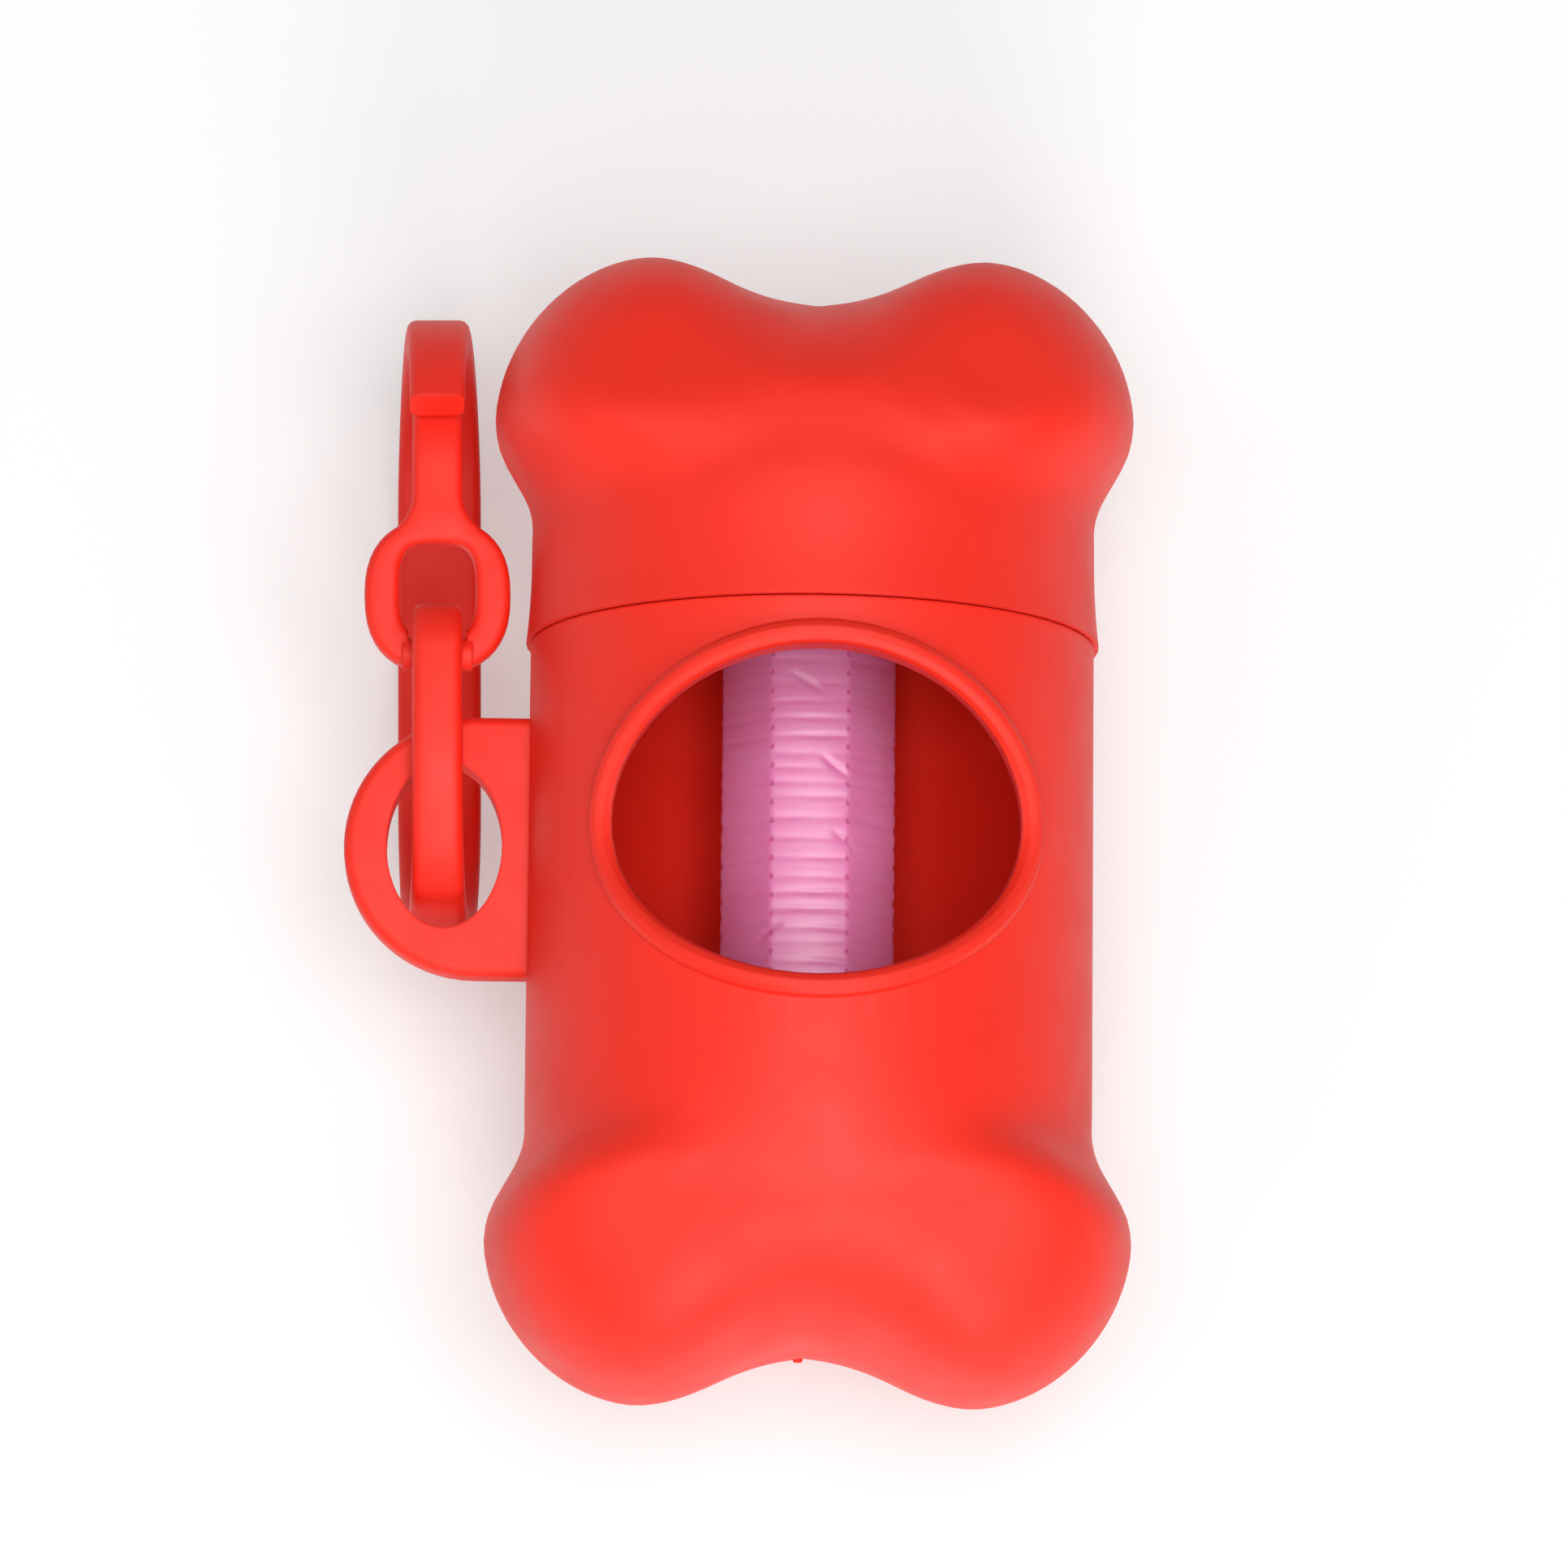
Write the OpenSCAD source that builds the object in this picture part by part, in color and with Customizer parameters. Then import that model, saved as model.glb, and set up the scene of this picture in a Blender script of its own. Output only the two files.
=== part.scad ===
// Bone-shaped dispenser for rolled dog waste bags, lying on its back.
// X runs across the bone, +Y toward the pull-off cap and +Z up through the window.
// The origin is on the resting plane, under the middle of the bone.

/* [Bone] */
// Length of the closed bone, lobe tip to lobe tip
bone_len = 84.8; // [78:0.2:96]
// Outer radius of the tube
tube_r = 20.85; // [19.5:0.05:23]
// Wall thickness of cup and cap
wall = 1.8; // [1.4:0.1:2.4]
// Half width of a knuckle lobe, seen from the front
lobe_r = 11.4; // [10.4:0.1:12.4]
// Length of a lobe from its widest place to its tip
lobe_tip = 11.9; // [10.6:0.1:12.6]
// Length of a lobe from its widest place back to the tube
lobe_root = 8.5; // [7.5:0.1:10]
// Fullness of a lobe's outline, 2 for an ellipse
lobe_power = 1.85; // [1.6:0.05:2.2]
// Distance of each lobe from the middle line
lobe_x = 12.3; // [11.3:0.1:13]
// Half depth of a knuckle, front to back
lobe_depth = 21.2; // [20.2:0.1:23]
// Edge radius of the domed end between the lobes
dome_r = 16.6; // [12:0.2:17.4]
// How far the dome stays below the lobe tips
dome_drop = 4.7; // [3:0.1:6]
// Softness of the blend between tube and lobes
blend = 3.25; // [2:0.25:5]
// Softness of the saddle between the lobes
saddle = 5; // [3:0.25:6]
// Softness of the edge where a lobe's side turns into its crown
lobe_edge = 4; // [3:0.5:7]
// Radius of the bulge of a lobe's side, front to back
side_bulge = 36; // [24:1:48]
// Place along the bone where the crown starts to fall toward the tips
crown_y = 22.5; // [21:0.25:25]
// Fall of the crown toward the tips, in degrees
crown_fall = 19; // [12:0.5:24]
// Half width of the crown's arch across the bone
crown_w = 40; // [34:0.5:48]
// Softness of the crest where the crown starts to fall
crest_soft = 4; // [3:0.25:8]

/* [Cap fit] */
// Seam between cup and cap, measured from the middle of the bone
seam_y = 13.9; // [12.8:0.1:15]
// Gap left at the seam
seam_gap = 0.1; // [0.05:0.05:0.3]
// How far the cap's skirt flares past the tube
skirt_flare = 0.35; // [0:0.05:0.6]
// Length of the cup's neck inside the cap
neck_len = 6; // [4:0.5:7]
// Wall thickness of the neck
neck_wall = 1.6; // [1.2:0.1:2]
// Radial clearance between neck and cap
neck_clear = 0.08; // [0.04:0.01:0.1]

/* [Window] */
// Half width of the oval window, inside its rim
window_w = 14.75; // [11:0.25:15.25]
// Half height of the oval window, inside its rim
window_h = 12; // [9:0.25:12]
// Middle of the window along the bone
window_y = -1.75; // [-2.5:0.25:-1.5]
// Radius of the rolled rim round the window
rim_r = 0.9; // [0.7:0.05:1.1]

/* [Lug] */
// Thickness of the lug
lug_t = 3.2; // [2.6:0.1:3.6]
// Half height of the lug, which is also its end radius
lug_h = 9.7; // [9.2:0.1:11]
// Middle of the lug along the bone
lug_y = -1.6; // [-2.4:0.1:0]
// Half width of the hole in the lug
lug_hole_w = 4.25; // [4:0.05:4.6]
// Half height of the hole in the lug
lug_hole_h = 6.2; // [5.8:0.1:6.4]
// Web between the hole and the end of the lug
lug_web = 3.15; // [2.6:0.05:3.6]

/* [Clip] */
// Length of the clip frame
clip_len = 47.5; // [44:0.5:54]
// Thickness of the frame bar
bar_t = 2.8; // [2.4:0.1:3.1]
// Width of the bar at the nose
nose_w = 4; // [3.4:0.1:4.4]
// Width of the bar where it passes the lug and the gate
strap_w = 3.65; // [3:0.05:4]
// Width of the bar along the spine
spine_w = 6.5; // [5:0.1:6.8]
// Edge radius of the bar
bar_round = 0.7; // [0.4:0.05:1]
// Turn of the hanging clip away from the bone, in degrees
clip_turn = 0.9; // [0:0.1:1.2]
// How far the nose reaches round the top bend, in degrees from the front
nose_angle = 22; // [18:1:32]
// Clearance between the frame and the lug's face
lug_clear = 0.3; // [0.2:0.05:0.6]
// Clearance between the clip and the side of the bone
side_clear = 0.55; // [0.4:0.05:1.5]
// Clearance under the spine
floor_clear = 0.35; // [0.2:0.05:1]

/* [Gate] */
// Radius of the pin that the gate turns on
pin_r = 1.2; // [1:0.05:1.3]
// Radial clearance of the pin in the curled end of the frame
pin_clear = 0.08; // [0.04:0.01:0.1]
// Pin's place along the bone
pin_y = 12.85; // [12.4:0.05:14]
// Thickness of the gate
gate_t = 2.2; // [1.8:0.1:2.4]
// Half width of the gate's eye
eye_w = 5.4; // [4.8:0.1:6]
// Height of the gate's eye
eye_h = 11.5; // [10.8:0.1:12.2]
// Half width of the hole in the eye
eye_hole_w = 2.8; // [2.6:0.05:3]
// Height of the hole in the eye
eye_hole_h = 7.2; // [6.6:0.1:7.6]
// Width of the gate's tongue
tongue_w = 3.7; // [3.2:0.1:4]
// Clearance between the tongue and the inside of the nose
nose_clear = 0.4; // [0.2:0.05:0.6]
// How far the tongue reaches round under the nose, in degrees
tuck_angle = 38; // [34:1:44]

/* [Bags] */
// Radius of the roll of bags
roll_r = 6.75; // [6:0.25:7.5]
// Length of the roll
roll_len = 54; // [48:0.5:56]
// How far the roll has slid toward the cup's closed end
roll_slide = 3; // [2:0.25:4]
// Outer radius of the cardboard core
core_r = 5; // [4.2:0.1:5.6]
// Wall thickness of the core
core_wall = 0.8; // [0.5:0.1:1.2]
// Clearance between the roll and the domed end that it lies on
roll_clear = 0.4; // [0.3:0.05:0.9]

/* [Hidden] */
body_red = "#F2332B";
bag_pink = "#FF8CC8";
card = "#B89468";
eps = 0.02;

// Bone: it lies on the cap's flared skirt, and each end's loft starts on the tube at loft_y, before the lobes
axis_z = tube_r + skirt_flare;
hollow_r = tube_r - wall;
lobe_y = bone_len / 2 - lobe_tip;
dome_y = bone_len / 2 - dome_drop;
blend_tail = 2;
loft_y = lobe_y - lobe_root - blend_tail;
loft_turns = 60;
loft_rings = 26;
loft_reach = 40;
solve_steps = 17;

// Cap fit: the neck stands a little outside the bore, and the cap's wall is thinner over it
neck_step = 0.58;
neck_r = hollow_r + neck_step;
neck_bore = neck_r - neck_wall;
neck_top = seam_y + neck_len;
socket_r = neck_r + neck_clear;
socket_top = neck_top + 0.5;
cone_len = 3;

// Window: the rim stands a little proud of the cut wall
window_lip = 0.12 * rim_r;

// Lug: the hole sits a little above the lug's middle
lug_edge = 0.8;
hole_rise = 0.1;

// Clip: it hangs beside the knuckles, and the lug reaches out far enough to hold it
strap_shift = 0.5;
clip_x = -side_clear - max(lobe_x + lobe_r + spine_w / 2, tube_r + skirt_flare + eye_w);
hole_x = clip_x + strap_shift;
lug_reach = lug_hole_w + lug_web - hole_x;
curl_r = pin_r + pin_clear;
strap_back = axis_z + lug_t / 2 + lug_clear;
clip_front = strap_back + bar_t;
pin_z = strap_back - curl_r;
clip_depth = clip_front - floor_clear;
bend_r = (clip_depth - bar_t) / 2;
bend_z = clip_front - clip_depth / 2;
clip_bottom = lug_y + hole_rise - lug_hole_h;
low_bend_y = clip_bottom + clip_depth / 2;
top_bend_y = clip_bottom + clip_len - clip_depth / 2;
bend_steps = 20;
curl_steps = 14;
curl_end = 215;
curl_tip_t = 0.7 * bar_t;
spine_power = 1.5;
strap_split_y = (low_bend_y + top_bend_y) / 2;

// Gate: the pin spans the slot in the eye's lower rim and runs on into the rim on both sides
eye_low = pin_y - pin_r - 0.1;
eye_y = eye_low + eye_h / 2;
eye_hole_y = pin_y + pin_r + eye_hole_h / 2;
eye_power = 2.4;
hole_power = 3.4;
gate_round = 0.6;
tongue_top_r = bend_r - bar_t / 2 - nose_clear;
gate_front = bend_z + tongue_top_r;
slot_clear = 0.35;
slot_half = strap_w / 2 + slot_clear;
slot_below = 2;
pin_root = 0.4;
fillet_w = 1.4;
fillet_h = 2.6;
tip_share = 0.7;

// Bags: the roll lies on the domed end of the cup's cavity
roll_low = roll_len / 2 + roll_slide;
roll_end_r = tube_r - dome_r + sqrt(pow(dome_r - wall, 2) - pow(roll_low - dome_y + dome_r, 2));
roll_z = axis_z - roll_end_r + roll_clear + roll_r;

// ---- form of the knuckled ends ----

function soft_min(a, b, soft) =
    let (h = max(soft - abs(a - b), 0) / soft)
    min(a, b) - h * h * soft / 4;

function soft_max(a, b, soft) = -soft_min(-a, -b, soft);

// Distance from a point to the tube with its domed end
function tube_dist(p) =
    let (q_r = norm([p.x, p.z]) - (tube_r - dome_r),
         q_y = p.y - (dome_y - dome_r))
    norm([max(q_r, 0), max(q_y, 0)]) + min(max(q_r, q_y), 0) - dome_r;

// Distance to the bulged sides of the lobe pair and of the block that fills the saddle between them
function plan_dist(p) =
    let (q = [abs(p.x) - lobe_x, max(crown_y - p.y, p.y - dome_y)],
         along = (p.y - lobe_y) * lobe_r / (p.y > lobe_y ? lobe_tip : lobe_root),
         lobe = pow(pow(abs(q.x), lobe_power) + pow(abs(along), lobe_power), 1 / lobe_power) - lobe_r,
         middle = norm([max(q.x, 0), max(q.y, 0)]) + min(max(q.x, q.y), 0))
    soft_min(lobe, middle, saddle) + pow(p.z, 2) / (2 * side_bulge);

// Distance to the crown, the arched face that falls from the tube to the tips
function crown_dist(p) =
    let (arch = norm([p.x * lobe_depth / crown_w, p.z]),
         past = soft_max(p.y - crown_y, 0, crest_soft))
    (arch - lobe_depth) * cos(crown_fall) + past * sin(crown_fall);

function end_dist(p) =
    soft_min(tube_dist(p), soft_max(plan_dist(p), crown_dist(p), lobe_edge), blend);

// Where the ray from the loft's centre along dir meets the surface
function ray_hit(dir, near, far, steps) =
    let (mid = (near + far) / 2)
    steps == 0 ? mid
    : end_dist([0, loft_y, 0] + mid * dir) < 0
        ? ray_hit(dir, mid, far, steps - 1)
        : ray_hit(dir, near, mid, steps - 1);

function end_point(turn, lift) =
    let (dir = [cos(lift) * cos(turn), sin(lift), cos(lift) * sin(turn)])
    [0, loft_y, 0] + ray_hit(dir, 0, loft_reach, solve_steps) * dir;

// Outer skin of one half: rings of the tube, each [place, radius], then the knuckled end
module bone_half(tube_rings) {
    points = concat(
        [[0, tube_rings[0][0], 0]],
        [for (ring = tube_rings, j = [0 : loft_turns - 1])
            let (turn = 360 * j / loft_turns)
            [ring[1] * cos(turn), ring[0], ring[1] * sin(turn)]],
        [for (i = [0 : loft_rings - 1], j = [0 : loft_turns - 1])
            end_point(360 * j / loft_turns, 90 * i / loft_rings)],
        [end_point(0, 90)]);
    last = len(tube_rings) + loft_rings - 1;
    tip = len(points) - 1;
    function at(i, j) = 1 + i * loft_turns + j % loft_turns;
    base_fan = [for (j = [0 : loft_turns - 1]) [0, at(0, j + 1), at(0, j)]];
    tip_fan = [for (j = [0 : loft_turns - 1]) [tip, at(last, j), at(last, j + 1)]];
    skin = [for (i = [0 : last - 1], j = [0 : loft_turns - 1])
        each [[at(i, j), at(i + 1, j + 1), at(i + 1, j)],
              [at(i, j), at(i, j + 1), at(i + 1, j + 1)]]];
    polyhedron(points, concat(base_fan, skin, tip_fan), convexity = 4);
}

// Turns a Z-up revolved shape so that its axis runs along +Y
module along_y() {
    rotate([-90, 0, 0]) children();
}

// Hollow of one end: the bore and its dome, as one core pulled straight out would leave them
module end_hollow() {
    hollow_y = dome_y - wall;
    edge = dome_r - wall;
    hollow_foot = socket_top - 2;
    along_y() rotate_extrude($fn = 72)
        polygon(concat(
            [[0, hollow_foot], [hollow_r - eps, hollow_foot]],
            [for (a = [0 : 15 : 90])
                [hollow_r - eps - edge + edge * cos(a), hollow_y - edge + edge * sin(a)]],
            [[0, hollow_y]]));
}

// ---- cup ----

function oval_at(a, w, h) = [w * cos(a), window_y + h * sin(a)];

// Rolled rim that follows the oval window over the tube's surface
module window_rim() {
    stations = 60;
    sides = 10;
    w = window_w + rim_r;
    h = window_h + rim_r;
    function on_tube(a) =
        let (p = oval_at(a, w, h))
        [p.x, p.y, sqrt(pow(tube_r, 2) - pow(p.x, 2))];
    points = [for (i = [0 : stations - 1])
        let (a = 360 * i / stations,
             mid = on_tube(a),
             ahead = on_tube(a + 1) - on_tube(a - 1),
             out = [mid.x, 0, mid.z] / tube_r,
             across = cross(ahead, out) / norm(cross(ahead, out)))
        for (k = [0 : sides - 1])
            mid + rim_r * (cos(360 * k / sides) * across + sin(360 * k / sides) * out)];
    function at(i, k) = (i % stations) * sides + k % sides;
    faces = [for (i = [0 : stations - 1], k = [0 : sides - 1])
        each [[at(i, k), at(i + 1, k + 1), at(i + 1, k)],
              [at(i, k), at(i, k + 1), at(i + 1, k + 1)]]];
    polyhedron(points, faces, convexity = 6);
}

// Flat D-shaped lug with rounded edges and an oval hole
module lug() {
    end_x = -lug_reach + lug_h;
    module half_section() {
        translate([0, -lug_t / 2]) square([lug_h - lug_edge, lug_t]);
        translate([0, -lug_t / 2 + lug_edge]) square([lug_h, lug_t - 2 * lug_edge]);
        for (side = [-1, 1])
            translate([lug_h - lug_edge, side * (lug_t / 2 - lug_edge)]) circle(lug_edge, $fn = 20);
    }
    difference() {
        translate([end_x, lug_y, 0]) {
            rotate_extrude($fn = 72) half_section();
            rotate([0, 90, 0]) linear_extrude(-end_x - tube_r + wall / 2) {
                rotate(90) half_section();
                rotate(-90) half_section();
            }
        }
        translate([hole_x, lug_y + hole_rise, -lug_t])
            linear_extrude(2 * lug_t)
                polygon([for (a = [0 : 7.5 : 359])
                    [lug_hole_w * cos(a), lug_hole_h * sin(a)]]);
    }
}

module cup() {
    cut_w = window_w + window_lip;
    cut_h = window_h + window_lip;
    color(body_red) translate([0, 0, axis_z]) {
        difference() {
            union() {
                mirror([0, 1, 0]) bone_half([[seam_gap - seam_y, tube_r]]);
                along_y() cylinder(r = neck_r, h = neck_top, $fn = 96);
                lug();
            }
            mirror([0, 1, 0]) end_hollow();
            translate([0, -loft_y - 1, 0]) along_y()
                cylinder(r = hollow_r, h = loft_y + 1 + seam_y - 2 * cone_len, $fn = 96);
            translate([0, seam_y - 2 * cone_len - eps, 0]) along_y()
                cylinder(r1 = hollow_r, r2 = neck_bore, h = cone_len + eps, $fn = 96);
            translate([0, seam_y - cone_len - eps, 0]) along_y()
                cylinder(r = neck_bore, h = cone_len + neck_len + 1, $fn = 96);
            linear_extrude(2 * tube_r)
                polygon([for (a = [0 : 6 : 359]) oval_at(a, cut_w, cut_h)]);
        }
        window_rim();
    }
}

// ---- cap ----

module cap() {
    flare_rings = 5;
    skirt = [for (i = [0 : flare_rings - 1])
        let (share = i / flare_rings)
        [seam_y + share * (loft_y - seam_y), tube_r + skirt_flare * pow(1 - share, 2)]];
    color(body_red) translate([0, 0, axis_z]) difference() {
        bone_half(skirt);
        end_hollow();
        translate([0, seam_y - 1, 0]) along_y()
            cylinder(r = socket_r, h = socket_top - seam_y + 1, $fn = 96);
    }
}

// ---- bags ----

module bag_roll() {
    color(bag_pink) translate([0, -roll_low, roll_z]) along_y() difference() {
        cylinder(r = roll_r, h = roll_len, $fn = 96);
        translate([0, 0, -1]) cylinder(r = core_r + eps, h = roll_len + 2, $fn = 96);
    }
}

module roll_core() {
    color(card) translate([0, -roll_low, roll_z]) along_y() difference() {
        cylinder(r = core_r, h = roll_len, $fn = 96);
        translate([0, 0, -1]) cylinder(r = core_r - core_wall, h = roll_len + 2, $fn = 96);
    }
}

// ---- clip ----

// Outline of a bar's section: w and t are half sizes, r the edge radius
function bar_section(w, t, r) =
    [for (q = [0 : 3], j = [0 : 3])
        let (a = 90 * q + 30 * j,
             sx = (q == 0 || q == 3) ? 1 : -1,
             st = q < 2 ? 1 : -1)
        [sx * (w - r) + r * cos(a), st * (t - r) + r * sin(a)]];

// A bar swept in the YZ plane; each station is [middle, outward normal, half width, half thickness]
module swept_bar(stations, r) {
    sides = 16;
    last = len(stations) - 1;
    points = [for (s = stations, p = bar_section(s[2], s[3], r))
        [p.x, s[0].x + p.y * s[1].x, s[0].y + p.y * s[1].y]];
    function at(i, k) = i * sides + k % sides;
    skin = [for (i = [0 : last - 1], k = [0 : sides - 1])
        each [[at(i, k), at(i, k + 1), at(i + 1, k + 1)],
              [at(i, k), at(i + 1, k + 1), at(i + 1, k)]]];
    first_end = [[for (k = [sides - 1 : -1 : 0]) at(0, k)]];
    last_end = [[for (k = [0 : sides - 1]) at(last, k)]];
    polyhedron(points, concat(first_end, skin, last_end), convexity = 6);
}

// Half width of the frame bar: narrow in front, widest along the spine
function frame_half_w(y, z) =
    let (front_w = y > strap_split_y ? nose_w : strap_w,
         share = min(max((clip_front - z) / clip_depth, 0), 1))
    (front_w + (spine_w - front_w) * pow(share, spine_power)) / 2;

function frame_station(mid_y, a, r, t) =
    let (out = [sin(a), cos(a)],
         mid = [mid_y, bend_z] + r * out)
    [mid, out, frame_half_w(mid.x, mid.y), t / 2];

function curl_station(a) =
    let (out = [sin(a), cos(a)],
         t = bar_t + (curl_tip_t - bar_t) * a / curl_end)
    [[pin_y, pin_z] + (curl_r + t / 2) * out, out, strap_w / 2, t / 2];

// Hangs the clip in the lug's hole, turned a little about the strap
module hung() {
    translate([clip_x, lug_y, 0]) rotate(clip_turn) translate([0, -lug_y, 0]) children();
}

module clip_frame() {
    top_bend = [for (i = [0 : bend_steps])
        frame_station(top_bend_y, nose_angle + (180 - nose_angle) * i / bend_steps, bend_r, bar_t)];
    low_bend = [for (i = [0 : bend_steps])
        frame_station(low_bend_y, 180 + 180 * i / bend_steps, bend_r, bar_t)];
    curl = [for (i = [0 : curl_steps]) curl_station(curl_end * i / curl_steps)];
    color(body_red) hung() swept_bar(concat(top_bend, low_bend, curl), bar_round);
}

// Rounded square of power n, as used for the gate's eye and its hole
function squared_oval(a, w, h, n) =
    [w * sign(cos(a)) * pow(abs(cos(a)), 2 / n), h * sign(sin(a)) * pow(abs(sin(a)), 2 / n)];

// Flat eye with rounded edges, as a closed loft from its hole to its outline
module gate_eye() {
    stations = 44;
    sides = 16;
    points = [for (i = [0 : stations - 1])
        let (a = 360 * i / stations,
             inner = squared_oval(a, eye_hole_w, eye_hole_h / 2, hole_power) + [0, eye_hole_y],
             outer = squared_oval(a, eye_w, eye_h / 2, eye_power) + [0, eye_y],
             mid = (inner + outer) / 2,
             half = norm(outer - inner) / 2,
             dir = (outer - inner) / (2 * half))
        for (p = bar_section(half, gate_t / 2, gate_round))
            [mid.x + p.x * dir.x, mid.y + p.x * dir.y, gate_front - gate_t / 2 + p.y]];
    function at(i, k) = (i % stations) * sides + k % sides;
    faces = [for (i = [0 : stations - 1], k = [0 : sides - 1])
        each [[at(i, k), at(i, k + 1), at(i + 1, k + 1)],
              [at(i, k), at(i + 1, k + 1), at(i + 1, k)]]];
    polyhedron(points, faces, convexity = 6);
}

// Springy tongue from the top of the eye to its tip under the nose
module gate_tongue() {
    root_y = eye_low + eye_h - 0.9;
    flat_steps = 6;
    tuck_steps = 8;
    function half_w(y) =
        tongue_w / 2 + fillet_w * pow(max(1 - (y - root_y) / fillet_h, 0), 2);
    flat = [for (i = [0 : flat_steps - 1])
        let (y = root_y + (top_bend_y - root_y) * i / flat_steps)
        [[y, gate_front - gate_t / 2], [0, 1], half_w(y), gate_t / 2]];
    tuck = [for (i = [0 : tuck_steps])
        let (a = tuck_angle * i / tuck_steps,
             t = gate_t * (1 - (1 - tip_share) * i / tuck_steps),
             out = [sin(a), cos(a)])
        [[top_bend_y, bend_z] + (tongue_top_r - t / 2) * out, out, tongue_w / 2, t / 2]];
    swept_bar(concat(flat, tuck), gate_round);
}

module clip_gate() {
    color(body_red) hung() {
        difference() {
            gate_eye();
            translate([-slot_half, eye_low - slot_below, 0])
                cube([2 * slot_half, pin_y + 2 * pin_r - eye_low + slot_below, clip_front]);
        }
        gate_tongue();
        translate([-slot_half - pin_root, pin_y, pin_z]) rotate([0, 90, 0])
            cylinder(r = pin_r, h = 2 * (slot_half + pin_root), $fn = 48);
    }
}

cup();
cap();
bag_roll();
roll_core();
clip_frame();
clip_gate();
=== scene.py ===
# %% [markdown]
# # A bone-shaped bag dispenser
# The dispenser is a small moulded bone that holds a roll of dog waste bags. Its hard parts come from the
# CAD model, so their sizes and places are fixed. Here each one gets a smooth skin, a plastic finish and the
# small marks of its mould, and the roll of thin film is modelled with its folds and wrinkles.

# %% Load the fixed frame
import bpy
import bmesh
import math
import random
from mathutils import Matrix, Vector


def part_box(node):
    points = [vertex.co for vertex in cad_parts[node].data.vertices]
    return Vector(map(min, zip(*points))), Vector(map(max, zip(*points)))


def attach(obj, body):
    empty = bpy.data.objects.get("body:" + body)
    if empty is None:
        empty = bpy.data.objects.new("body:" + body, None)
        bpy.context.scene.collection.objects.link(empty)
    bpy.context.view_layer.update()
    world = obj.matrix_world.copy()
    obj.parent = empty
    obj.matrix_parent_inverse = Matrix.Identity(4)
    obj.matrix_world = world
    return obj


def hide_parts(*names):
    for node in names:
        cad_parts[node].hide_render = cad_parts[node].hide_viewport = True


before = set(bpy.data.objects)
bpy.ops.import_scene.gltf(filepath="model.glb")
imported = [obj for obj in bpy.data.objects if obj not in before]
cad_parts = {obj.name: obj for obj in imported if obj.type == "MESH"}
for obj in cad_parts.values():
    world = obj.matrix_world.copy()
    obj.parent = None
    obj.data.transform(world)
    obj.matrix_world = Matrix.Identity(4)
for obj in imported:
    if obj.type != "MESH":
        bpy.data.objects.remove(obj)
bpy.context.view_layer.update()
MM = 0.001
# Half the bone's height, where the two halves of its mould met
PARTING_Z = 21.2 * MM

# %% [markdown]
# A scene needs plain helpers before any piece. Blender's colour sockets hold linear light, while colours are
# picked as sRGB hex, so one function converts them. Another adds any shader node, sets what it is given and
# links its inputs, which keeps each material short enough to read from top to bottom.

# %% Helpers for colours, nodes and selections
def linear(hex_colour):
    parts = [int(hex_colour[i:i + 2], 16) / 255 for i in (1, 3, 5)]
    return tuple(p / 12.92 if p <= 0.04045 else ((p + 0.055) / 1.055) ** 2.4 for p in parts) + (1.0,)


def add_node(tree, kind, inputs=None, **settings):
    node = tree.nodes.new(kind)
    for name, value in settings.items():
        setattr(node, name, value)
    for name, value in (inputs or {}).items():
        socket = node.inputs[name]
        if isinstance(value, bpy.types.NodeSocket):
            tree.links.new(value, socket)
        else:
            socket.default_value = value
    return node


def new_material(name):
    material = bpy.data.materials.new(name)
    material.use_nodes = True
    material.node_tree.nodes.clear()
    return material, material.node_tree


def select_only(obj):
    if bpy.context.object and bpy.context.object.mode != "OBJECT":
        bpy.ops.object.mode_set(mode="OBJECT")
    bpy.ops.object.select_all(action="DESELECT")
    obj.select_set(True)
    bpy.context.view_layer.objects.active = obj


print("helpers ready")

# %% [markdown]
# The camera looks down on the bone from 0.7 m, tipped about ten degrees toward its uncapped end. A long lens
# from that far keeps both ends of the bone nearly the same width.

# %% Camera
CAMERA_PLACE = (-0.020438, -0.119912, 0.7212)
CAMERA_DEGREES = (9.99, -1.6, 0.5224)
LENS_MM = 221
bpy.ops.object.camera_add(location=CAMERA_PLACE, rotation=[math.radians(a) for a in CAMERA_DEGREES])
camera = bpy.context.object
camera.name = "camera"
camera.data.lens = LENS_MM
camera.data.sensor_width = 36
camera.data.clip_start = 0.02
camera.data.clip_end = 20
bpy.context.scene.camera = camera
print("camera lens", camera.data.lens, "mm")

# %% [markdown]
# The bone lies on a wide sheet of plain white paper. It is matt and nearly white, and the red plastic throws
# a faint pink onto it, so the floor is a rough diffuse surface that catches both the shadow and the tint. To
# make the background white without more light on the bone, a share of plain white is mixed in, but only for
# rays that look at the paper. The rest is still lit paper, so the shadow stays.

# %% Floor
bpy.ops.mesh.primitive_plane_add(size=6, location=(0, 0, 0))
floor = bpy.context.object
floor.name = "paper_floor"
WHITE_SHARE = 0.4
paper, tree = new_material("white_background_paper")
noise_at = add_node(tree, "ShaderNodeTexCoord")
fibre = add_node(tree, "ShaderNodeTexNoise", {
    "Vector": noise_at.outputs["Object"], "Scale": 900.0, "Detail": 3.0})
fibre_bump = add_node(tree, "ShaderNodeBump", {
    "Height": fibre.outputs["Fac"], "Strength": 0.03, "Distance": 0.0001})
surface = add_node(tree, "ShaderNodeBsdfPrincipled", {
    "Base Color": linear("#F4F3F3"), "Roughness": 0.9, "Specular IOR Level": 0.1,
    "Normal": fibre_bump.outputs["Normal"]})
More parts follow.
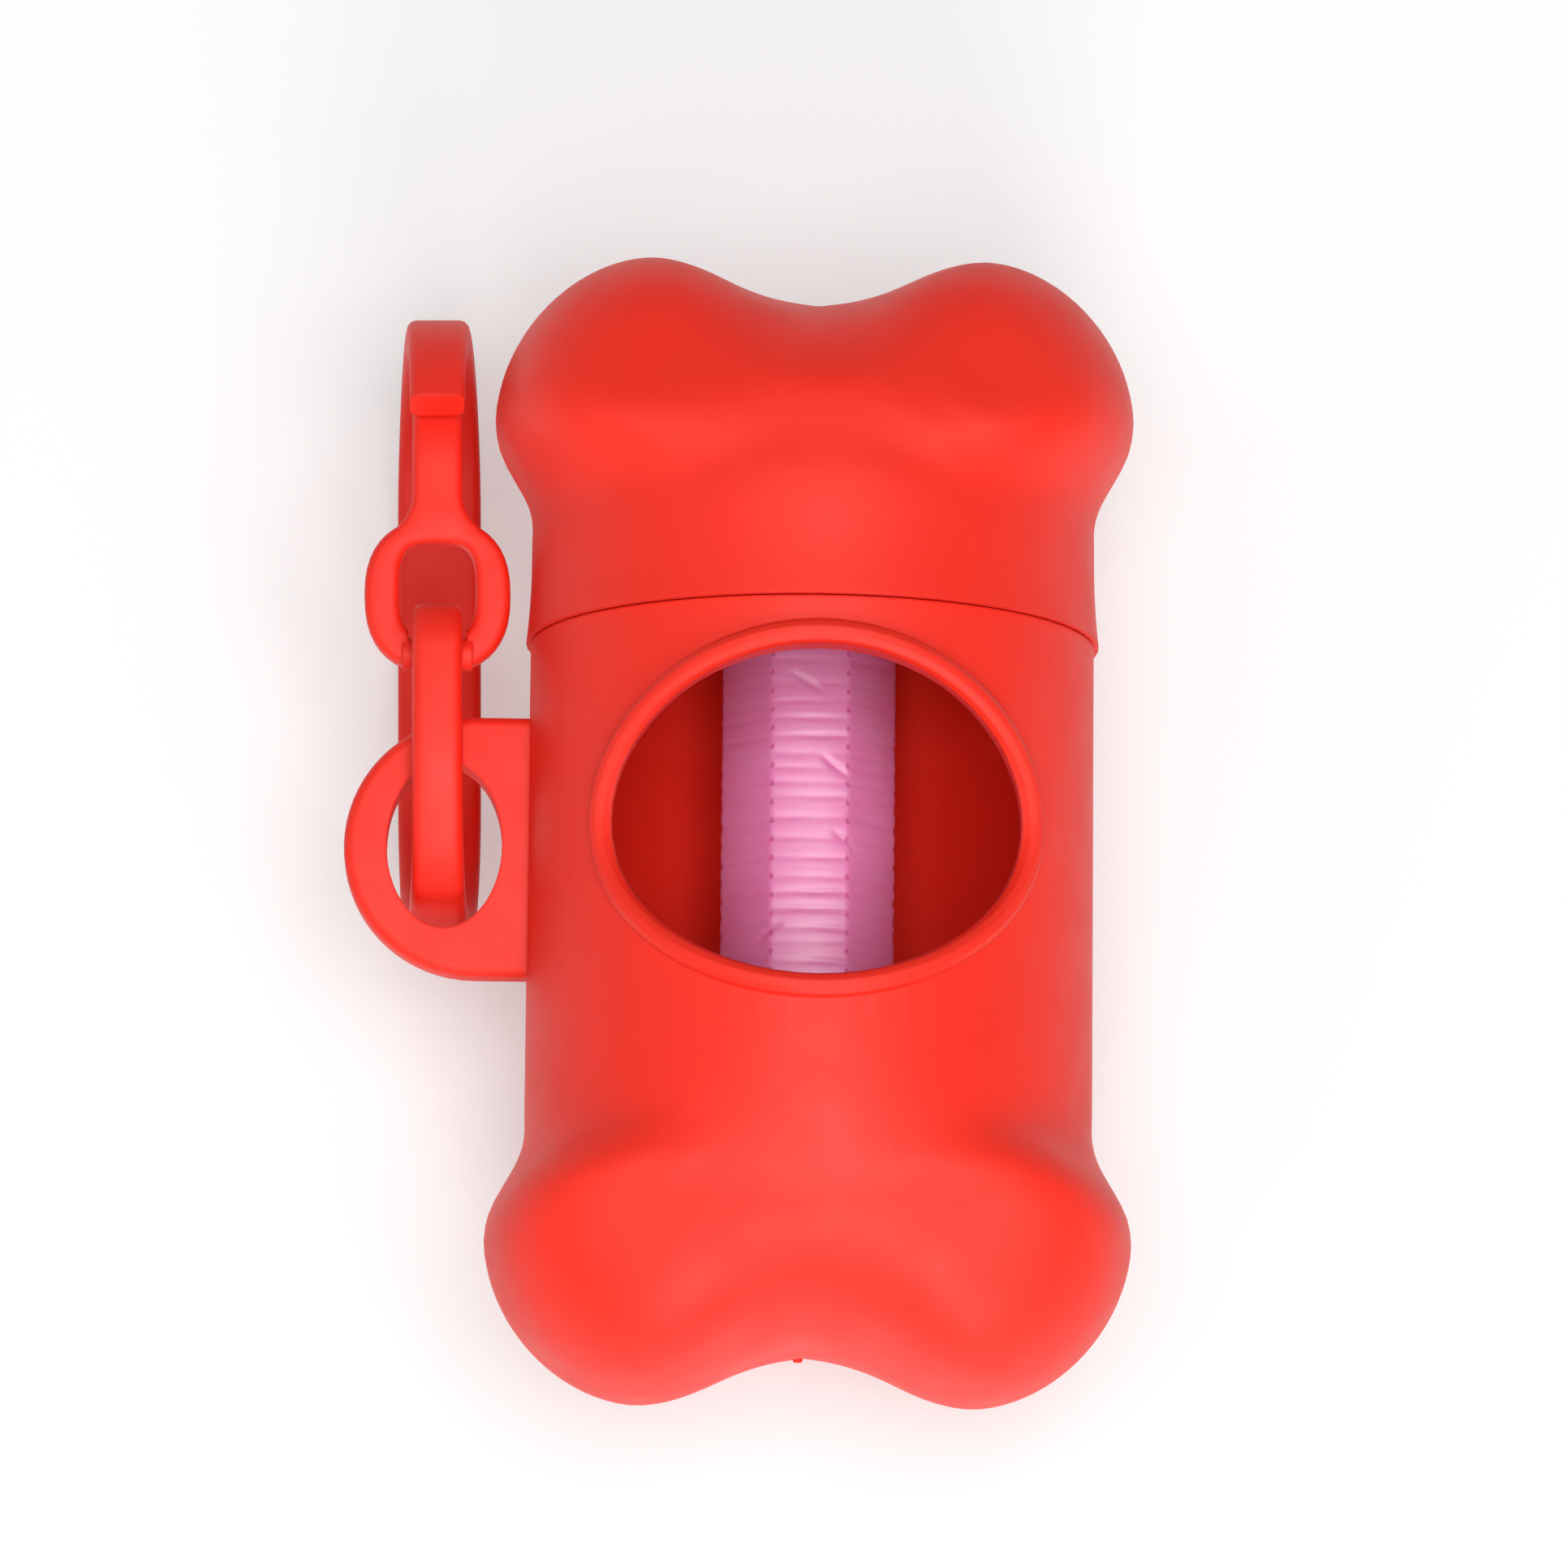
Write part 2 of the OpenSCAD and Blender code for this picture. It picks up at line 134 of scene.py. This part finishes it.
# Rays that look at the paper: the camera's, and those seen in gloss or through clear things
rays = add_node(tree, "ShaderNodeLightPath")
seen = add_node(tree, "ShaderNodeMath", {
    0: rays.outputs["Is Camera Ray"], 1: rays.outputs["Is Glossy Ray"]}, operation="ADD")
seen = add_node(tree, "ShaderNodeMath", {
    0: seen.outputs[0], 1: rays.outputs["Is Transmission Ray"]}, operation="ADD", use_clamp=True)
share = add_node(tree, "ShaderNodeMath", {0: seen.outputs[0], 1: WHITE_SHARE}, operation="MULTIPLY")
backlight = add_node(tree, "ShaderNodeEmission", {"Color": linear("#FCFFFF"), "Strength": 0.94})
lifted = add_node(tree, "ShaderNodeMixShader", {
    0: share.outputs[0], 1: surface.outputs[0], 2: backlight.outputs[0]})
add_node(tree, "ShaderNodeOutputMaterial", {"Surface": lifted.outputs[0]})
floor.data.materials.append(paper)
print("floor", floor.dimensions[:2])

# %% [markdown]
# A satin skin shows broad, quiet highlights under a large soft lamp, so the key is one, hung nearly above
# the bone. It lights the roll through the window, while the sides of the cavity see little of it and stay
# dark. A small lamp stands low at the cup's closed end and lifts the faces that look that way, a weak one
# fills the clip's side, and a pale sky lights the rest.

# %% Lights
world = bpy.data.worlds.new("studio")
bpy.context.scene.world = world
world.use_nodes = True
world.node_tree.nodes.clear()
sky = add_node(world.node_tree, "ShaderNodeBackground", {"Color": linear("#FFFFFF"), "Strength": 0.3})
add_node(world.node_tree, "ShaderNodeOutputWorld", {"Surface": sky.outputs["Background"]})

# Each lamp has a name, a place, a size across and a power; all of them look at the middle of the bone
LAMPS = (("key_lamp", (0.04, -0.095, 0.77), 0.48, 4.3),
         ("front_lamp", (0.1, -0.55, 0.4), 0.3, 2.1),
         ("fill_lamp", (-0.5, -0.05, 0.4), 0.5, 0.35))
BONE_MIDDLE = Vector((0, 0, 0.02))
for name, place, size, watts in LAMPS:
    bpy.ops.object.light_add(type="AREA", location=place)
    lamp = bpy.context.object
    lamp.name = name
    lamp.data.size = size
    lamp.data.energy = watts
    lamp.rotation_euler = (BONE_MIDDLE - Vector(place)).to_track_quat("-Z", "Y").to_euler()
    print(name, watts, "W")
bpy.context.scene.view_settings.view_transform = "Standard"

# %% [markdown]
# The bone, cap and clip are injection-moulded polypropylene. The mould's fine spark-eroded skin leaves a
# grain of about a quarter of a millimetre, which makes the red satin, with soft broad highlights and a
# slightly uneven gloss. The two halves of the mould meet half way up the bone, and that leaves a hair line.
# A Bevel node rounds each edge by the small radius that every moulded edge has.

# %% Red moulded plastic
def moulded_red(name, shade, parting):
    material, tree = new_material(name)
    place = add_node(tree, "ShaderNodeTexCoord").outputs["Object"]
    # Pigment: patches about 15 mm across drift a little in depth
    drift = add_node(tree, "ShaderNodeTexNoise", {
        "Vector": place, "Scale": 65.0, "Detail": 2.0, "Roughness": 0.5})
    deep, bright = shade
    colour = add_node(tree, "ShaderNodeMix", {
        "Factor": drift.outputs["Fac"], 6: linear(deep), 7: linear(bright)}, data_type="RGBA")
    # Gloss: patches of about 4 mm, where the skin of the mould is more or less worn
    worn = add_node(tree, "ShaderNodeTexNoise", {"Vector": place, "Scale": 240.0, "Detail": 2.0})
    gloss = add_node(tree, "ShaderNodeMapRange", {
        "Value": worn.outputs["Fac"], "From Min": 0.3, "From Max": 0.7, "To Min": 0.5, "To Max": 0.58})
    # Grain: 0.25 mm, so 4000 cells to the metre
    grain = add_node(tree, "ShaderNodeTexNoise", {"Vector": place, "Scale": 4000.0, "Detail": 1.0})
    rounded = add_node(tree, "ShaderNodeBevel", {"Radius": 0.3 * MM}, samples=4)
    bump = add_node(tree, "ShaderNodeBump", {
        "Height": grain.outputs["Fac"], "Strength": 0.12, "Distance": 0.05 * MM,
        "Normal": rounded.outputs["Normal"]})
    if parting:
        # Parting line: a ridge about 0.16 mm wide at half the bone's height
        height = add_node(tree, "ShaderNodeSeparateXYZ", {"Vector": place}).outputs["Z"]
        from_line = add_node(tree, "ShaderNodeMath", {0: height, 1: -PARTING_Z}, operation="ADD")
        away = add_node(tree, "ShaderNodeMath", {0: from_line.outputs[0]}, operation="ABSOLUTE")
        ridge = add_node(tree, "ShaderNodeMapRange", {
            "Value": away.outputs[0], "From Min": 0.05 * MM, "From Max": 0.11 * MM,
            "To Min": 1.0, "To Max": 0.0})
        bump = add_node(tree, "ShaderNodeBump", {
            "Height": ridge.outputs["Result"], "Strength": 0.8, "Distance": 0.08 * MM,
            "Normal": bump.outputs["Normal"]})
    surface = add_node(tree, "ShaderNodeBsdfPrincipled", {
        "Base Color": colour.outputs[2], "Roughness": gloss.outputs["Result"], "IOR": 1.49,
        "Specular IOR Level": 0.42, "Subsurface Weight": 0.08, "Subsurface Radius": (1.0, 0.25, 0.15),
        "Subsurface Scale": 0.8 * MM, "Normal": bump.outputs["Normal"]})
    add_node(tree, "ShaderNodeOutputMaterial", {"Surface": surface.outputs["BSDF"]})
    return material


bone_red = moulded_red("satin_moulded_polypropylene_bone", ("#E6210F", "#EE2A13"), True)
clip_red = moulded_red("satin_moulded_polypropylene_clip", ("#E4200E", "#EC2812"), False)
print("made", bone_red.name, "and", clip_red.name)

# %% [markdown]
# The CAD solids arrive as loose triangles, which would shade as flat facets. The CAD mesh itself stays as it
# is, so each hard part is copied, its corners are welded, and the copy is shaded smooth except at true edges.
# The knuckles are round in every direction, where short straight facets would show in the outline, so their
# faces are subdivided once with full smoothness. The copy stands for the CAD node and moves with its body.

# %% Smooth skins for the moulded parts
WELD = 0.002 * MM
KNUCKLE_START = 23 * MM
KNUCKLE_MIDDLE = 30 * MM
LOOKS_OUT = 0.3


def smooth_skin(node, name, body, material, knuckles=None):
    select_only(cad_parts[node])
    bpy.ops.object.duplicate()
    skin = bpy.context.object
    skin.name = name
    select_only(skin)
    bpy.ops.mesh.customdata_custom_splitnormals_clear()
    bpy.ops.object.mode_set(mode="EDIT")
    bpy.ops.mesh.select_all(action="SELECT")
    bpy.ops.mesh.remove_doubles(threshold=WELD)
    bpy.ops.mesh.select_mode(type="FACE")
    bpy.ops.mesh.select_all(action="DESELECT")
    bpy.ops.object.mode_set(mode="OBJECT")
    if knuckles:
        # The outer faces of the knuckled end, which look away from its middle
        middle = Vector((0, knuckles, PARTING_Z))
        for face in skin.data.polygons:
            out = (face.center - middle).normalized()
            face.select = abs(face.center.y) > KNUCKLE_START and face.normal.dot(out) > LOOKS_OUT
        bpy.ops.object.mode_set(mode="EDIT")
        bpy.ops.mesh.subdivide(number_cuts=1, smoothness=1.0)
        bpy.ops.object.mode_set(mode="OBJECT")
    bpy.ops.object.shade_smooth_by_angle(angle=math.radians(32))
    skin.data.materials.clear()
    skin.data.materials.append(material)
    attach(skin, body)
    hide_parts(node)
    print(name, len(skin.data.polygons), "faces")
    return skin


cup_skin = smooth_skin("cup", "moulded_cup", "bone", bone_red, -KNUCKLE_MIDDLE)
smooth_skin("cap", "moulded_cap", "end_cap", bone_red, KNUCKLE_MIDDLE)
smooth_skin("clip_frame", "moulded_clip_frame", "clip", clip_red)
smooth_skin("clip_gate", "moulded_clip_gate", "gate", clip_red)

# %% [markdown]
# Molten plastic enters the mould through one small gate, and the runner is snapped off there afterwards. It
# leaves a stub less than half a millimetre high, here in the saddle at the cup's closed end. A short cylinder
# with its rim bevelled and its face pushed in slightly gives that torn, dished top.

# %% Moulding gate stub
GATE_X, GATE_Z = -0.5 * MM, 17 * MM
GATE_RADIUS, GATE_RISE, GATE_ROUND, GATE_DISH = 0.35 * MM, 0.25 * MM, 0.12 * MM, 0.1 * MM
hit, saddle_spot, _, _ = cup_skin.ray_cast(Vector((GATE_X, -60 * MM, GATE_Z)), Vector((0, 1, 0)))
bpy.ops.object.select_all(action="DESELECT")
bpy.ops.mesh.primitive_cylinder_add(
    vertices=28, radius=GATE_RADIUS, depth=2 * GATE_RISE, location=saddle_spot,
    rotation=(math.radians(90), 0, 0))
stub = bpy.context.object
stub.name = "moulding_gate_stub"
bpy.ops.object.transform_apply(location=True, rotation=True, scale=True)
outer = [f.index for f in stub.data.polygons if f.normal.y < -0.9]
bpy.ops.object.mode_set(mode="EDIT")
bpy.ops.mesh.select_mode(type="FACE")
bpy.ops.mesh.select_all(action="DESELECT")
bpy.ops.object.mode_set(mode="OBJECT")
for index in outer:
    stub.data.polygons[index].select = True
bpy.ops.object.mode_set(mode="EDIT")
bpy.ops.mesh.bevel(offset=GATE_ROUND, segments=4)
bpy.ops.object.mode_set(mode="OBJECT")
outer = max((f for f in stub.data.polygons if f.normal.y < -0.9), key=lambda f: f.area).index
for face in stub.data.polygons:
    face.select = face.index == outer
bpy.ops.object.mode_set(mode="EDIT")
bpy.ops.mesh.inset(thickness=GATE_DISH)
bpy.ops.transform.translate(value=(0, GATE_DISH, 0))
bpy.ops.mesh.select_all(action="SELECT")
bpy.ops.mesh.normals_make_consistent(inside=False)
bpy.ops.object.mode_set(mode="OBJECT")
bpy.ops.object.shade_smooth_by_angle(angle=math.radians(40))
stub.data.materials.append(bone_red)
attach(stub, "bone")
print("gate stub at mm", [round(v / MM, 2) for v in saddle_spot], "hit", hit)

# %% [markdown]
# The bags come as thin film, folded lengthwise and wound, so the roll isn't a true cylinder. The folded
# film lies in flats with soft corners between them, and wrinkles run across each flat. A torus has just the
# closed form of a thick-walled roll, so one torus is added here, and the next cells move its rings onto the
# roll's section.

# %% Torus for the wound roll
roll_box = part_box("bag_roll")
roll_axis_z = (roll_box[0][2] + roll_box[1][2]) / 2
roll_radius = (roll_box[1][2] - roll_box[0][2]) / 2
roll_half = (roll_box[1][1] - roll_box[0][1]) / 2
roll_mid = (roll_box[1][1] + roll_box[0][1]) / 2
TURNS = 168
RINGS = 256
bpy.ops.mesh.primitive_torus_add(
    major_segments=TURNS, minor_segments=RINGS, major_radius=6 * MM, minor_radius=1 * MM)
roll = bpy.context.object
roll.name = "wound_film_roll"
print("torus points", len(roll.data.vertices), "for a roll of radius mm", round(roll_radius / MM, 2))

# %% [markdown]
# The section of a roll is one closed line: along the bore, out over one end, along the outside and in over
# the other end. Each ring of the torus gets a place on that line. On the outside, the rings lie four times
# closer behind the window than elsewhere, because only there does anyone see the wrinkles.

# %% Section of the roll
INNER_RINGS = 4
END_RINGS = 6
END_ROUND = 0.35 * MM
SEEN = (-13 * MM, 16 * MM)
CLOSER = 4
outer_rings = RINGS - INNER_RINGS - 2 * END_RINGS
low, high = -roll_half + END_ROUND, roll_half - END_ROUND
seen_low, seen_high = SEEN[0] - roll_mid, SEEN[1] - roll_mid
stretches = (seen_low - low, CLOSER * (seen_high - seen_low), high - seen_high)
profile = []
for i in range(INNER_RINGS):
    profile.append(("bore", roll_half * (1 - 2 * i / INNER_RINGS), 0.0))
for i in range(END_RINGS):
    profile.append(("end", -roll_half, i / END_RINGS))
for i in range(outer_rings):
    gone = sum(stretches) * i / (outer_rings - 1)
    if gone < stretches[0]:
        along = low + gone
    elif gone < stretches[0] + stretches[1]:
        along = seen_low + (gone - stretches[0]) / CLOSER
    else:
        along = seen_high + gone - stretches[0] - stretches[1]
    profile.append(("skin", along, 1.0))
for i in range(END_RINGS):
    profile.append(("end", roll_half, 1 - i / END_RINGS))
print("rings", len(profile), "of them on the outside", outer_rings)

# %% [markdown]
# Wound film wrinkles across its length, and no two wrinkles are alike. Each is a shallow groove with its own
# place, width, depth and skew. The numbers are random but come from one seed, so that the roll is the same
# every time. A few deeper creases lie aslant, and those are listed one by one.

# %% Wrinkles and creases
END_MARGIN = 0.8 * MM
rng = random.Random(7)
# Wrinkles: each has a place along the roll, a middle angle, a width, a depth and a skew
wrinkles = []
at = -roll_half + END_MARGIN
while at < roll_half - END_MARGIN:
    wrinkles.append((at, rng.uniform(-0.4, 0.4), rng.uniform(0.2, 0.3) * MM, rng.uniform(0.05, 0.12) * MM,
                     rng.uniform(-0.25, 0.25)))
    at += rng.uniform(1.05, 1.75) * MM
# Creases: each has a place along the roll, a middle angle, a slant, a reach round the roll and a depth
CREASES = ((14.9 * MM, -0.06, -4 * MM, 0.2, 0.17 * MM), (8.4 * MM, 0.31, -5 * MM, 0.2, 0.2 * MM),
           (2.9 * MM, 0.42, -5 * MM, 0.16, 0.18 * MM), (-4 * MM, -0.5, 4 * MM, 0.2, 0.18 * MM))
CREASE_WIDTH = 0.22 * MM
print("wrinkles", len(wrinkles), "creases", len(CREASES))

# %% [markdown]
# One function gives the skin's radius at any angle and place: first the flats with their soft corners, then
# less where a wrinkle or a crease lies. All of it goes inward from the CAD roll's radius, so the film never
# stands further out than the solid that it replaces.

# %% Radius of the skin
FLATS = 7
FLATNESS = 0.62
CORNER_SOFTNESS = 0.93
SKIN_INSET = 0.1 * MM
flat_angle = 2 * math.pi / FLATS
half_flat = math.pi / FLATS


def skin_radius(angle, along):
    inside = (angle + half_flat) % flat_angle - half_flat
    side = round((angle - inside) / flat_angle)
    corner = math.cos(half_flat * CORNER_SOFTNESS) / math.cos(inside * CORNER_SOFTNESS)
    radius = roll_radius * (1 - FLATNESS * (1 - corner)) - SKIN_INSET
    for place, middle, width, depth, skew in wrinkles:
        # A wrinkle snakes a little, and its depth rises and falls round the roll, anew on each flat
        off = along - place - skew * width * 2 * math.sin(angle * 2 + side)
        if abs(off) < 3 * width:
            fade = 0.65 + 0.35 * math.cos(angle * 3 + middle * 9 + side * 1.7)
            radius -= depth * fade * math.exp(-(off / width) ** 2)
    for place, middle, slant, reach, depth in CREASES:
        run = (angle + math.pi) % (2 * math.pi) - math.pi - middle
        if abs(run) < reach:
            off = along - place - slant * run
            radius -= depth * math.cos(run / reach * math.pi / 2) * math.exp(-(off / CREASE_WIDTH) ** 2)
    return radius


print("radius at the top mm", round(skin_radius(0.0, 0.0) / MM, 2))

# %% [markdown]
# Now each point of the torus goes to its place. A torus numbers its points ring by ring round the small
# circle, for each step round the axis, so a point's number gives both its angle and its ring. The rim of
# each end is drawn in a little, because wound film has no sharp edge there.

# %% Rings moved onto the roll
CORE_RADIUS = 5.03 * MM
RIM_SHARE = 0.3
RIM_DROP = 0.25 * MM
mesh = bmesh.new()
mesh.from_mesh(roll.data)
mesh.verts.ensure_lookup_table()
for vert in mesh.verts:
    step, ring = divmod(vert.index, RINGS)
    angle = 2 * math.pi * step / TURNS
    kind, along, share = profile[ring]
    if kind == "bore":
        y, radius = along, CORE_RADIUS
    elif kind == "end":
        edge = skin_radius(angle, along)
        y = along - math.copysign(END_ROUND * max(0, share - (1 - RIM_SHARE)) / RIM_SHARE, along)
        radius = CORE_RADIUS + (edge - RIM_DROP - CORE_RADIUS) * share
    else:
        y = along
        radius = skin_radius(angle, y)
    vert.co = Vector((radius * math.sin(angle), roll_mid + y, roll_axis_z + radius * math.cos(angle)))
bmesh.ops.recalc_face_normals(mesh, faces=mesh.faces)
mesh.to_mesh(roll.data)
mesh.free()
select_only(roll)
bpy.ops.object.transform_apply(location=True, rotation=True, scale=True)
bpy.ops.object.shade_smooth_by_angle(angle=math.radians(50))
print("roll faces", len(roll.data.polygons), "size mm", [round(v / MM, 2) for v in roll.dimensions])

# %% [markdown]
# The film is thin polyethylene, pigmented pink and wound many layers deep. It is glossy and lets some light
# into the layers below. Its fine crinkle is far smaller than the wrinkles of the mesh, so that part is bump:
# about 0.7 mm across, and stretched to 2.5 mm round the roll. A clear coat stands for the outermost wrap.

# %% Film colour and crinkle
film, tree = new_material("wound_polyethylene_film")
place = add_node(tree, "ShaderNodeTexCoord").outputs["Object"]
stretched = add_node(tree, "ShaderNodeMapping", {"Vector": place, "Scale": (400.0, 1500.0, 400.0)})
crinkle = add_node(tree, "ShaderNodeTexNoise", {
    "Vector": stretched.outputs["Vector"], "Scale": 1.0, "Detail": 3.0})
bands = add_node(tree, "ShaderNodeTexNoise", {
    "Vector": stretched.outputs["Vector"], "Scale": 0.35, "Detail": 2.0})
pink = add_node(tree, "ShaderNodeMix", {
    "Factor": bands.outputs["Fac"], 6: linear("#FF88C8"), 7: linear("#FFA4D8")}, data_type="RGBA")
print("film colour ready")

# %% [markdown]
# A row of small dots runs along each fold of the film. They are drawn in the material: the angle round the
# roll gives the distance from the nearest fold, the length along it gives the distance from the nearest dot,
# and a point close in both lies in one. Each dot is a shallow dimple in a deeper pink, about 0.4 mm across.

# %% Dots along the folds
DOT_STEP = 1.4 * MM
spot = add_node(tree, "ShaderNodeSeparateXYZ", {"Vector": place})
above = add_node(tree, "ShaderNodeMath", {0: spot.outputs["Z"], 1: roll_axis_z}, operation="SUBTRACT")
turn = add_node(tree, "ShaderNodeMath", {0: spot.outputs["X"], 1: above.outputs[0]}, operation="ARCTAN2")
from_fold = add_node(tree, "ShaderNodeMath", {
    0: turn.outputs[0], 1: flat_angle, 2: 0.0}, operation="WRAP")
across = add_node(tree, "ShaderNodeMath", {0: from_fold.outputs[0], 1: -half_flat}, operation="ADD")
across = add_node(tree, "ShaderNodeMath", {0: across.outputs[0], 1: roll_radius}, operation="MULTIPLY")
beside = add_node(tree, "ShaderNodeMath", {0: spot.outputs["Y"], 1: DOT_STEP / 2}, operation="PINGPONG")
from_dot = add_node(tree, "ShaderNodeCombineXYZ", {"X": across.outputs[0], "Y": beside.outputs[0]})
reach = add_node(tree, "ShaderNodeVectorMath", {0: from_dot.outputs["Vector"]}, operation="LENGTH")
dot = add_node(tree, "ShaderNodeMapRange", {
    "Value": reach.outputs["Value"], "From Min": 0.12 * MM, "From Max": 0.26 * MM,
    "To Min": 1.0, "To Max": 0.0})
in_dot = add_node(tree, "ShaderNodeMath", {0: dot.outputs["Result"], 1: 0.55}, operation="MULTIPLY")
pink = add_node(tree, "ShaderNodeMix", {
    "Factor": in_dot.outputs[0], 6: pink.outputs[2], 7: linear("#D24A92")}, data_type="RGBA")
film_bump = add_node(tree, "ShaderNodeBump", {
    "Height": crinkle.outputs["Fac"], "Strength": 0.35, "Distance": 0.08 * MM})
film_bump = add_node(tree, "ShaderNodeBump", {
    "Height": dot.outputs["Result"], "Strength": 0.6, "Distance": 0.12 * MM,
    "Normal": film_bump.outputs[0]}, invert=True)
film_surface = add_node(tree, "ShaderNodeBsdfPrincipled", {
    "Base Color": pink.outputs[2], "Roughness": 0.38, "IOR": 1.51, "Subsurface Weight": 0.5,
    "Subsurface Radius": (1.0, 0.35, 0.6), "Subsurface Scale": 1.5 * MM, "Coat Weight": 0.6,
    "Coat Roughness": 0.32, "Normal": film_bump.outputs["Normal"]})
add_node(tree, "ShaderNodeOutputMaterial", {"Surface": film_surface.outputs["BSDF"]})
roll.data.materials.clear()
roll.data.materials.append(film)
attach(roll, "roll")
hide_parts("bag_roll")
print("film ready, a dot every", round(DOT_STEP / MM, 2), "mm")

# %% [markdown]
# The core is a small tube of kraft card, wound in a spiral and cut to length. Card like that is rough and
# shows short fibres and flecks that run round it, so stretched noise gives both its colour and its relief.
# The CAD tube has the right shape already and only takes the material.

# %% Cardboard core
card, tree = new_material("spiral_wound_kraft_card")
place = add_node(tree, "ShaderNodeTexCoord").outputs["Object"]
fibres = add_node(tree, "ShaderNodeMapping", {"Vector": place, "Scale": (900.0, 3500.0, 900.0)})
fleck = add_node(tree, "ShaderNodeTexNoise", {
    "Vector": fibres.outputs["Vector"], "Scale": 1.0, "Detail": 4.0})
kraft = add_node(tree, "ShaderNodeMix", {
    "Factor": fleck.outputs["Fac"], 6: linear("#A8845A"), 7: linear("#C9A77C")}, data_type="RGBA")
card_bump = add_node(tree, "ShaderNodeBump", {
    "Height": fleck.outputs["Fac"], "Strength": 0.3, "Distance": 0.05 * MM})
card_surface = add_node(tree, "ShaderNodeBsdfPrincipled", {
    "Base Color": kraft.outputs[2], "Roughness": 0.85, "Specular IOR Level": 0.3,
    "Normal": card_bump.outputs["Normal"]})
add_node(tree, "ShaderNodeOutputMaterial", {"Surface": card_surface.outputs["BSDF"]})
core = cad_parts["roll_core"]
core.data.materials.clear()
core.data.materials.append(card)
print("card ready")
